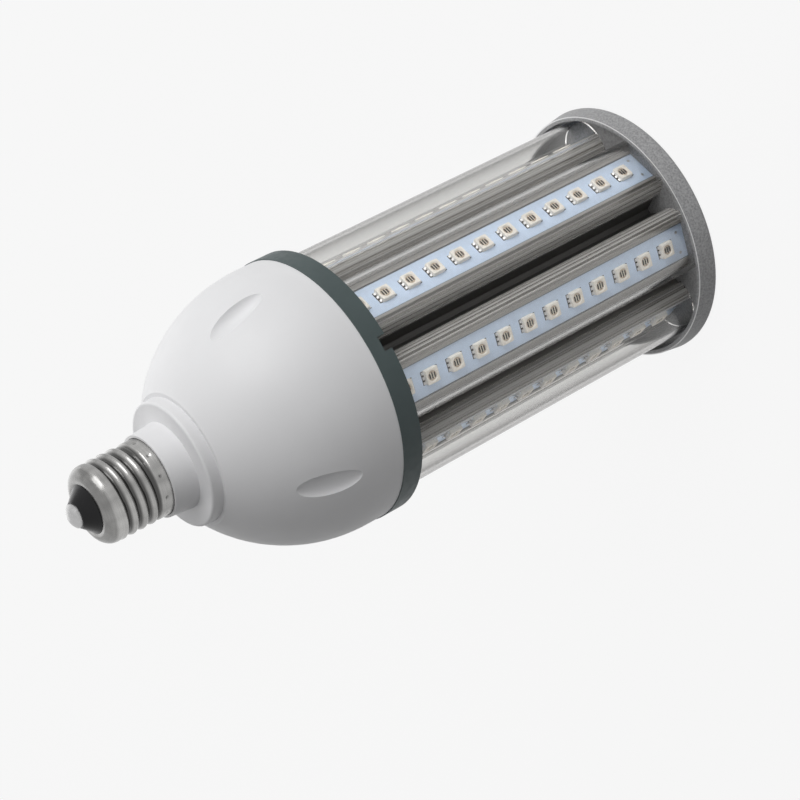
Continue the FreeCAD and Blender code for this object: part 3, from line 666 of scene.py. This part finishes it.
class LAMP_OT_threaded_shell(bpy.types.Operator):
    """Make the screw shell with its helical thread and punched band"""

    bl_idname = "lamp.threaded_shell"
    bl_label = "Threaded shell"

    def execute(self, context):
        sizes = settings().shell
        bottom, top = SHELL_LOW.z, SHELL_HIGH.z
        thread_start = bottom + sizes.band_height
        shoulder_start = top - sizes.shoulder
        thread_height = shoulder_start - thread_start
        run_in_start, run_in_height = -0.2 * sizes.pitch, 0.6 * sizes.pitch
        run_out_height = 0.7 * sizes.pitch
        ring_step = 0.3 * MM
        shoulder_rings = 12

        def eased(share):
            share = min(max(share, 0), 1)
            return share * share * (3 - 2 * share)

        def wall_radius(angle, height):
            """Radius of the sheet below the shoulder: band, dents and thread."""
            rise = height - thread_start
            run_in = eased((rise - run_in_start) / run_in_height)
            turn = rise / sizes.pitch - angle / TURN - sizes.thread_turn
            wave = (0.5 - 0.5 * math.cos(TURN * turn)) ** sizes.crest_power * run_in
            run_out = eased((rise - thread_height + run_out_height) / run_out_height)
            wave += (sizes.run_out_level - wave) * run_out
            thread = sizes.root_radius + (sizes.crest_radius - sizes.root_radius) * wave
            band = 1 - eased((rise + sizes.band_ease) / sizes.band_ease)
            radius = thread + (sizes.band_radius - thread) * band
            return radius - dent(angle, height) * band

        def dent(angle, height):
            around = ((angle - sizes.dent_turn) / TURN * sizes.dent_count) % 1
            across = min(around, 1 - around) * TURN / sizes.dent_count * sizes.band_radius
            up = height - bottom - sizes.band_height * sizes.dent_level
            return sizes.dent_depth * math.exp(-(across ** 2 + up ** 2) / sizes.dent_radius ** 2 * 2)

        def level(height):
            return lambda angle: (wall_radius(angle, height), height)

        def shoulder(turn):
            height = shoulder_start + sizes.shoulder * math.sin(turn)

            def ring(angle):
                reach = wall_radius(angle, shoulder_start) - sizes.mouth_radius
                return sizes.mouth_radius + reach * math.cos(turn), height
            return ring

        count = int((shoulder_start - bottom) / ring_step)
        rings = [circle(sizes.band_radius + sizes.flare, bottom)]
        rings += [level(bottom + (shoulder_start - bottom) * i / count) for i in range(count + 1)]
        rings += [shoulder(math.pi / 2 * (i + 1) / shoulder_rings) for i in range(shoulder_rings)]
        rings.append(circle(sizes.mouth_radius - sizes.lip, top - sizes.lip_drop))
        shell = lofted("threaded_shell", rings, facets=256)
        apply_modifier(shell, "SOLIDIFY", thickness=sizes.wall, offset=-1.0)
        smooth(shell, degrees=40)
        paint(shell, nickel())
        hand_in(shell, "nickel_shell", "screw_shell")
        return {"FINISHED"}


class LAMP_OT_led_rows(bpy.types.Operator):
    """Make the rows of LEDs, each with its well, dies, leads and pads"""

    bl_idname = "lamp.led_rows"
    bl_label = "LED rows"

    def body(self, sizes):
        """Square body with cut corners and a round well, whose floor has its own colour."""
        half = sizes.side / 2

        def square(reach, height):
            def ring(angle):
                across = max(abs(math.cos(angle)), abs(math.sin(angle)))
                return min(reach / across, reach * sizes.corner_reach), height
            return ring

        top = sizes.height
        floor = top - sizes.well_depth
        cream = lofted("led_body", [
            square(half, sizes.seat),
            square(half, top - sizes.edge),
            square(half - sizes.edge, top),
            circle(sizes.well_radius, top),
            circle(sizes.well_radius * sizes.well_taper, floor),
        ], facets=24, fill_end=True)
        paint(cream, moulded("led_cream", settings().finish.body, roughness=0.42))
        cream.data.materials.append(moulded("led_well", settings().finish.well, roughness=0.25))
        for face in cream.data.polygons:
            is_floor = face.normal.z > 0.9 and face.center.z < top - sizes.well_depth / 2
            face.material_index = 1 if is_floor else 0
        return cream

    def dies(self, sizes):
        """Three dark bars across the row with bright plated strips between them."""
        middle = sizes.height - sizes.well_depth + sizes.die_height / 2
        silicon = moulded("led_die", settings().finish.die, roughness=0.18)
        frame_metal = plated("led_strip", settings().finish.strip, roughness=0.3)
        made = []
        for step in (-1, 0, 1):
            length_across = sizes.die_length * (1 if step == 0 else sizes.outer_die)
            size = (sizes.die_width, length_across, sizes.die_height)
            die = add_box(size, (step * sizes.die_pitch, 0, middle))
            paint(die, silicon)
            made.append(die)
        for step in (-0.5, 0.5):
            size = (sizes.die_width * sizes.strip_width, sizes.die_length, sizes.die_height)
            strip = add_box(size, (step * sizes.die_pitch, 0, middle))
            paint(strip, frame_metal)
            made.append(strip)
        return made

    def leads(self, sizes):
        """Bent leads on both ends of the body, over a near-black strip that shows as a dark outline round
        them.
        """
        tin = plated("lead_tin", settings().finish.lead, roughness=0.3)
        dark_sheet = moulded("dark_outline_sheet", settings().finish.pad, roughness=0.4)
        half = sizes.side / 2
        thick = sizes.lead_thickness
        film = sizes.pad_film
        pad_reach = sizes.lead_reach + sizes.pad_border
        pad_width = sizes.lead_pitch * 2 + sizes.lead_width + sizes.pad_border * 2
        made = []
        for side in (-1, 1):
            for step in (-1, 0, 1):
                across = step * sizes.lead_pitch
                foot = add_box((sizes.lead_reach, sizes.lead_width, thick),
                               (side * (half + sizes.lead_reach / 2), across, film + thick / 2))
                leg = add_box((thick, sizes.lead_width, sizes.height * sizes.lead_rise),
                              (side * (half + thick / 2), across, sizes.height * sizes.lead_middle))
                paint(foot, tin)
                paint(leg, tin)
                made += [foot, leg]
            # A near-black sheet under the leads of each end, seen as a dark outline round them.
            pad = add_box((pad_reach, pad_width, film), (side * (half + pad_reach / 2), 0, film / 2))
            paint(pad, dark_sheet)
            made.append(pad)
        return made

    def execute(self, context):
        sizes = settings().led
        pattern = joined("led_pattern", [self.body(sizes)] + self.dies(sizes) + self.leads(sizes))
        smooth(pattern, degrees=30)
        first = LED_LOW.z + sizes.side / 2
        pitch = (LED_HIGH.z - LED_LOW.z - sizes.side) / (LEDS_IN_ROW - 1)
        for index in range(ROWS):
            copies = [copied(pattern, on_row(index, BOARD_HIGH.y, first + pitch * step))
                      for step in range(LEDS_IN_ROW)]
            row = joined("led_packages_%d" % (index + 1), copies)
            hand_in(row, "led_cream", "led_row_%d" % (index + 1))
        bpy.data.objects.remove(pattern)
        return {"FINISHED"}


class LAMP_OT_board_pads(bpy.types.Operator):
    """Make the small solder pads at the ends of the boards"""

    bl_idname = "lamp.board_pads"
    bl_label = "Board pads"

    def execute(self, context):
        sizes = settings().trim
        pad = lofted("pad_pattern", [
            circle(sizes.pad_radius, 0.0),
            circle(sizes.pad_radius, sizes.pad_wall),
            circle(sizes.pad_top_radius, sizes.pad_height),
        ], facets=12, fill_start=True, fill_end=True)
        paint(pad, plated("pad_solder", settings().finish.board_pad, roughness=0.34))
        smooth(pad, degrees=40)
        copies = []
        for index in range(ROWS):
            for height in (BOARD_LOW.z + sizes.pad_low_inset, BOARD_HIGH.z - sizes.pad_high_inset):
                for side in (-1, 1):
                    across = Matrix.Translation((0, side * sizes.pad_offset, 0))
                    copies.append(copied(pad, on_row(index, BOARD_HIGH.y, height) @ across))
        pads = joined("board_pads", copies)
        hand_in(pads, "contact_metal")
        bpy.data.objects.remove(pad)
        return {"FINISHED"}


class LAMP_OT_cap_screws(bpy.types.Operator):
    """Make the countersunk screws of the end cap with their cross recess"""

    bl_idname = "lamp.cap_screws"
    bl_label = "Cap screws"

    def execute(self, context):
        sizes = settings().trim
        low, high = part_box("cap_screws")
        screw = lofted("screw_pattern", [
            circle(sizes.face_radius, low.z),
            circle(sizes.head_radius, low.z + sizes.head_edge),
            circle(sizes.shank_radius, low.z + sizes.head_height),
            circle(sizes.shank_radius, high.z),
        ], facets=32, fill_start=True, fill_end=True)
        arm, width, height = sizes.cross_length, sizes.cross_width, sizes.cross_depth * 2
        for size in ((arm, width, height), (width, arm, height)):
            blade = add_box(size, (0, 0, low.z))
            apply_modifier(screw, "BOOLEAN", operation="DIFFERENCE", object=blade, solver="EXACT")
            bpy.data.objects.remove(blade)
        smooth(screw, degrees=35)
        paint(screw, screw_steel())
        distance = sizes.screw_distance
        copies = []
        for corner in SCREW_CORNERS:
            angle = row_angle(corner) - math.radians(ROW_STEP / 2)
            spot = Vector((distance * math.cos(angle), distance * math.sin(angle), 0))
            copies.append(copied(screw, Matrix.Translation(spot)))
        screws = joined("cross_screws", copies)
        hand_in(screws, "screw_steel", "cap_screws")
        bpy.data.objects.remove(screw)
        return {"FINISHED"}


class LAMP_OT_finishes(bpy.types.Operator):
    """Give the CAD nodes their finishes"""

    bl_idname = "lamp.finishes"
    bl_label = "Finishes"

    def execute(self, context):
        colours = settings().finish
        rows = range(1, ROWS + 1)
        insulator = moulded("insulator_black", colours.insulator, roughness=0.2, grain=300.0, specular=0.22)
        finishes = (
            (cast_grey(), ["end_cap"]),
            (extruded_grey(), ["heat_sink"]),
            (ring_slate(), ["lower_ring"]),
            (dome_white(), ["driver_housing"]),
            (clear_cover(), ["cover_%d" % row for row in rows]),
            (board_mask(), ["led_board_%d" % row for row in rows]),
            (insulator, ["base_insulator"]),
            (plated("contact_solder", colours.solder, roughness=0.3), ["centre_contact"]),
            (screw_steel(), ["ring_screws"]),
            (moulded("board_green", colours.circuit, roughness=0.35), ["link_board", "driver_board"]),
            (moulded("ferrite", colours.ferrite, roughness=0.5), ["driver_transformer", "driver_choke"]),
            (moulded("can_black", colours.can, roughness=0.3), ["driver_capacitor", "driver_rectifier"]),
            (moulded("lead_red", colours.wire, roughness=0.4), ["led_leads", "live_lead", "neutral_lead"]),
        )
        for material, names in finishes:
            for name in names:
                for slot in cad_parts[name].material_slots:
                    slot.material = material
        return {"FINISHED"}


class LAMP_OT_stage(bpy.types.Operator):
    """Make the floor, the lights and the camera"""

    bl_idname = "lamp.stage"
    bl_label = "Studio"

    def floor_material(self, stage):
        """Grey that throws light back and takes the shadow, and is seen nearly white."""
        material, tree, shader = new_tree("studio_floor")
        grey = stage.floor_grey
        set_inputs(tree, shader, Base_Color=(grey, grey, grey, 1), Roughness=0.9)
        white = node(tree, "Emission", Color=(1, 1, 1, 1), Strength=1.0)
        seen_white = calculate(tree, "MULTIPLY", seen_directly(tree), stage.floor_glow)
        mix_into_output(tree, seen_white, shader, white)
        return material

    def light(self, name, spot, target, watts, size):
        deselect()
        bpy.ops.object.light_add(type="AREA", location=spot)
        lamp = bpy.context.object
        lamp.name = name
        lamp.data.energy = watts
        lamp.data.size = size
        lamp.rotation_euler = (target - spot).to_track_quat("-Z", "Y").to_euler()

    def sky(self, bright_way, stage):
        """A surround that is seen white, and whose soft light fades from one side to the other."""
        world = bpy.data.worlds.new("studio")
        world.use_nodes = True
        tree = world.node_tree
        along = tree.nodes.new("ShaderNodeVectorMath")
        along.operation = "DOT_PRODUCT"
        put(tree, along.inputs[0], tree.nodes.new("ShaderNodeTexCoord").outputs["Generated"])
        put(tree, along.inputs[1], bright_way.normalized())
        fade = map_range(tree, along.outputs["Value"], stage.fade_start, stage.fade_end,
                         low=stage.world_shade, high=stage.world_light)
        strength = map_range(tree, seen_directly(tree), 0.0, 1.0, low=fade, high=stage.sky_white)
        set_inputs(tree, tree.nodes["Background"], Color=(1, 1, 1, 1), Strength=strength)
        return world

    def execute(self, context):
        stage = settings().stage
        scene = context.scene
        scene.view_settings.view_transform = "Standard"
        right = Vector(stage.camera_right)
        up = Vector(stage.camera_up)
        to_world = Matrix((right, up, right.cross(up))).transposed()
        deselect()
        bpy.ops.object.camera_add()
        camera = context.object
        camera.matrix_world = Matrix.Translation(stage.camera_place) @ to_world.to_4x4()
        camera.data.lens = stage.lens
        camera.data.sensor_width = stage.sensor
        scene.camera = camera
        deselect()
        bpy.ops.mesh.primitive_plane_add(size=stage.floor_side, location=(0, 0, -stage.floor_drop))
        floor = context.object
        floor.name = "studio_floor"
        paint(floor, self.floor_material(stage))
        target = Vector((0, 0, (SINK_LOW.z + SINK_HIGH.z) / 2))
        key_spot = target + to_world @ Vector(stage.key_place)
        fill_spot = target + Vector(stage.fill_place)
        self.light("key_light", key_spot, target, stage.key_power, stage.key_size)
        self.light("fill_light", fill_spot, target, stage.fill_power, stage.fill_size)
        scene.world = self.sky(to_world @ Vector(stage.world_way), stage)
        return {"FINISHED"}


class LAMP_PT_panel(bpy.types.Panel):
    """Steps and settings of the lamp's dressing"""

    bl_idname = "LAMP_PT_panel"
    bl_label = "Corn lamp"
    bl_space_type = "VIEW_3D"
    bl_region_type = "UI"
    bl_category = "Corn lamp"

    def draw(self, context):
        for step in STEPS:
            self.layout.operator(step.bl_idname)
        for group in LampSettings.__annotations__:
            box = self.layout.box()
            values = getattr(context.scene.corn_lamp, group)
            for name in values.__annotations__:
                box.prop(values, name)


STEPS = (
    LAMP_OT_threaded_shell,
    LAMP_OT_led_rows,
    LAMP_OT_board_pads,
    LAMP_OT_cap_screws,
    LAMP_OT_finishes,
    LAMP_OT_stage,
)
GROUPS = (ShellSizes, LedSizes, TrimSizes, FinishColours, StageSettings, LampSettings)
CLASSES = GROUPS + STEPS + (LAMP_PT_panel,)


def register():
    for item in CLASSES:
        bpy.utils.register_class(item)
    bpy.types.Scene.corn_lamp = PointerProperty(type=LampSettings)


def unregister():
    del bpy.types.Scene.corn_lamp
    for item in reversed(CLASSES):
        bpy.utils.unregister_class(item)


def main():
    register()
    bpy.ops.lamp.threaded_shell()
    bpy.ops.lamp.led_rows()
    bpy.ops.lamp.board_pads()
    bpy.ops.lamp.cap_screws()
    bpy.ops.lamp.finishes()
    bpy.ops.lamp.stage()


if __name__ == "__main__":
    main()
